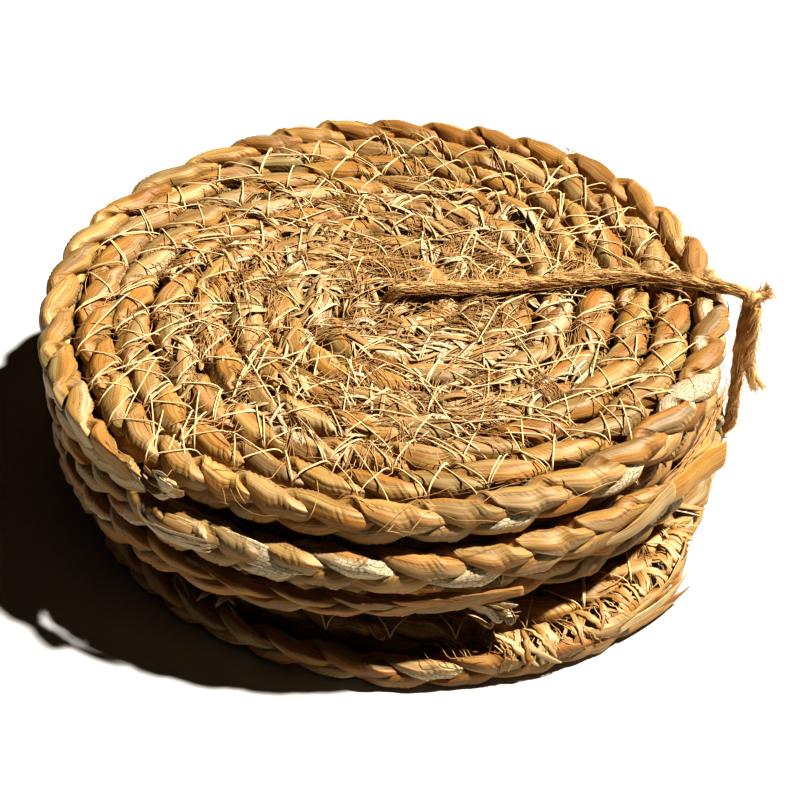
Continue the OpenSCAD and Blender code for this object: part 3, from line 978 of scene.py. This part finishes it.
def curled_roll():
    """A rolled leaf end that sticks out between the two lower mats."""
    a = np.linspace(0, 2 * math.pi * 2.1, 60)
    r = 0.42 * (0.9 + 0.22 * a)
    middle = spot(1, 288.5, 90.2, 1.2)
    out = np.array([math.cos(math.radians(289)), math.sin(math.radians(289)), 0])
    beside = np.array([-out[1], out[0], 0])
    curve = beside * np.cos(a)[:, None] + np.array([0, 0, 1.0]) * np.sin(a)[:, None]
    outer = np.stack([middle + out * depth + curve * (r * k)[:, None]
                      for depth, k in ((1.0, 0.9), (-0.8, 1.0), (-2.8, 0.97), (-5.2, 0.9))], 1)
    to_axis = outer - outer.mean(0)[None]
    far = np.maximum(np.linalg.norm(to_axis, axis=-1, keepdims=True), 0.2)
    inner = outer - to_axis / far * 0.16
    loops = np.concatenate([outer, inner[:, ::-1]], 1)
    n, sides = loops.shape[:2]
    end = np.array([[0, 1, 6, 7], [1, 2, 5, 6], [2, 3, 4, 5]])
    f = np.concatenate([grid_faces(n, sides), end[:, ::-1], end + (n - 1) * sides])
    v = loops.reshape(-1, 3)
    uv = np.stack([np.tile(np.arange(sides) * 0.0012, n), np.repeat(a * 0.0006, sides)], -1)
    mesh("curled_leaf_end", v, f, "lower_middle_mat", RUSH,
         np.ones((len(v), 3)) * [0.50, 0.42, 0.27], uv[f.ravel()], np.full(len(v), 0.3))


curled_roll()


def wraps():
    """Fibres and narrow leaves wound crosswise over the bottom mat's outer row, near its
    plait's end."""
    rng = np.random.default_rng(71)
    count, points, sides = 130, 14, 6
    middle_r, middle_z = 84.9, 5.0
    ang = np.sort(rng.uniform(283, 327, count))
    lean_along = rng.normal(0, 4.2, (count, 1))
    q = np.linspace(0, 1, points)[None, :]
    turn = rng.uniform(-30, 60, (count, 1)) + q * rng.uniform(80, 190, (count, 1))
    turn = np.radians(turn)
    rise = rng.uniform(4.75, 5.25, (count, 1))
    radial = middle_r + np.cos(turn) * rise * 0.96
    z = middle_z + np.sin(turn) * (rise + 0.15)
    a = ang[:, None] + (q - 0.5) * lean_along + rng.normal(0, 0.15, (count, points))
    a = np.radians(a)
    path = place(0, np.stack([radial * np.cos(a), radial * np.sin(a), z], -1), False)
    path[..., 2] = np.clip(path[..., 2], 0.2, 11.4)
    leafy = rng.random((count, 1)) < 0.42
    w = np.where(leafy, rng.uniform(0.5, 1.2, (count, 1)), rng.uniform(0.14, 0.3, (count, 1)))
    w = w * (1 - 0.6 * np.abs(2 * q - 1) ** 3)
    middle = np.stack([middle_r * np.cos(a), middle_r * np.sin(a), np.full(a.shape, middle_z)], -1)
    v, f, uv = tubes(path, w, sides, 0.25, unit(path - place(0, middle, False)))
    colours = [[0.54, 0.34, 0.12], [0.60, 0.43, 0.19], [0.42, 0.23, 0.07], [0.68, 0.54, 0.30]]
    tone = shades(count, points * sides + 2, colours, rng)
    mesh("bottom_wraps", v, f, "bottom_mat", RUSH, tone, uv, np.zeros(len(v)))


wraps()

# ------------------------------------------------------------------ twine, and the last fibres
loop_line = twine("twine_loop_jute", LOOP, "twine_loop", 31, wide=1.15)
hairs("twine_loop_fibres", loop_line, 3100, 32, (8, 26), 0.5, 1.42, 0.22)
long_line = twine("twine_long_tail_jute", LONG_TAIL, "twine_long_tail", 33, 0.85,
                  hint=(1, 0, 0), fray=0.7)
hairs("twine_long_tail_fibres", long_line, 260, 34, (3, 10), 0.8, 1.2, 0.5, (1, 0, 0))
short_line = twine("twine_short_tail_jute", SHORT_TAIL, "twine_short_tail", 35, 0.85, fray=0.6)
hairs("twine_short_tail_fibres", short_line, 160, 36, (2, 5), 0.8, 1.1, 0.5)


def gap_fibres():
    """Brown frayed fibres between the third mat's end and the top mat, on the right."""
    rng = np.random.default_rng(61)
    count, points, sides = 90, 9, 5
    q = np.linspace(0, 1, points)[None, :]
    start = rng.uniform(327, 341, (count, 1))
    a = start + q * rng.uniform(3, 9, (count, 1)) * rng.choice([-1, 1], (count, 1))
    a = np.radians(a)
    r = rng.uniform(87.6, 89.4, (count, 1)) + rng.uniform(-0.2, 1.0, (count, 1)) * q ** 2
    z = rng.uniform(8.6, 10.6, (count, 1)) + rng.uniform(-1.2, 0.8, (count, 1)) * q
    path = np.stack([r * np.cos(a), r * np.sin(a), np.minimum(z, 10.9)], -1)
    w = rng.uniform(0.10, 0.22, (count, 1)) * (1 - 0.6 * q)
    v, f, uv = tubes(place(2, path, False), w, sides)
    colours = [[0.8, 0.5, 0.24], [0.95, 0.68, 0.36], [0.6, 0.34, 0.14]]
    tone = shades(count, points * sides + 2, colours, rng)
    mesh("gap_fibres", v, f, BODIES[2], STRAWS, tone, uv)


gap_fibres()


def knot():
    """An overhand knot: one turn of the twine round itself."""
    a = np.linspace(0, 2 * math.pi, 90)[:-1]
    x = 1.15 * np.cos(a) + 1.25 * np.cos(2 * a)
    y = 1.15 * np.sin(a) - 1.25 * np.sin(2 * a)
    z = 1.1 * np.sin(3 * a)
    points = np.stack([z, x, y], -1) + np.array([89.2, 1.0, 44.8])
    hint = (1, 0.2, 0.1)
    line = twine("twine_knot_jute", points, "twine_knot", 37, 0.80, pitch=7, hint=hint)
    hairs("twine_knot_fibres", line, 220, 38, (2, 7), 0.5, 1.3, 0.3, hint)


knot()

# ------------------------------------------------------------------ floor and the end
bpy.ops.mesh.primitive_plane_add(size=6, location=(0, 0, 0))
floor = bpy.context.object
floor.name = "floor"
floor.data.materials.append(floor_material())
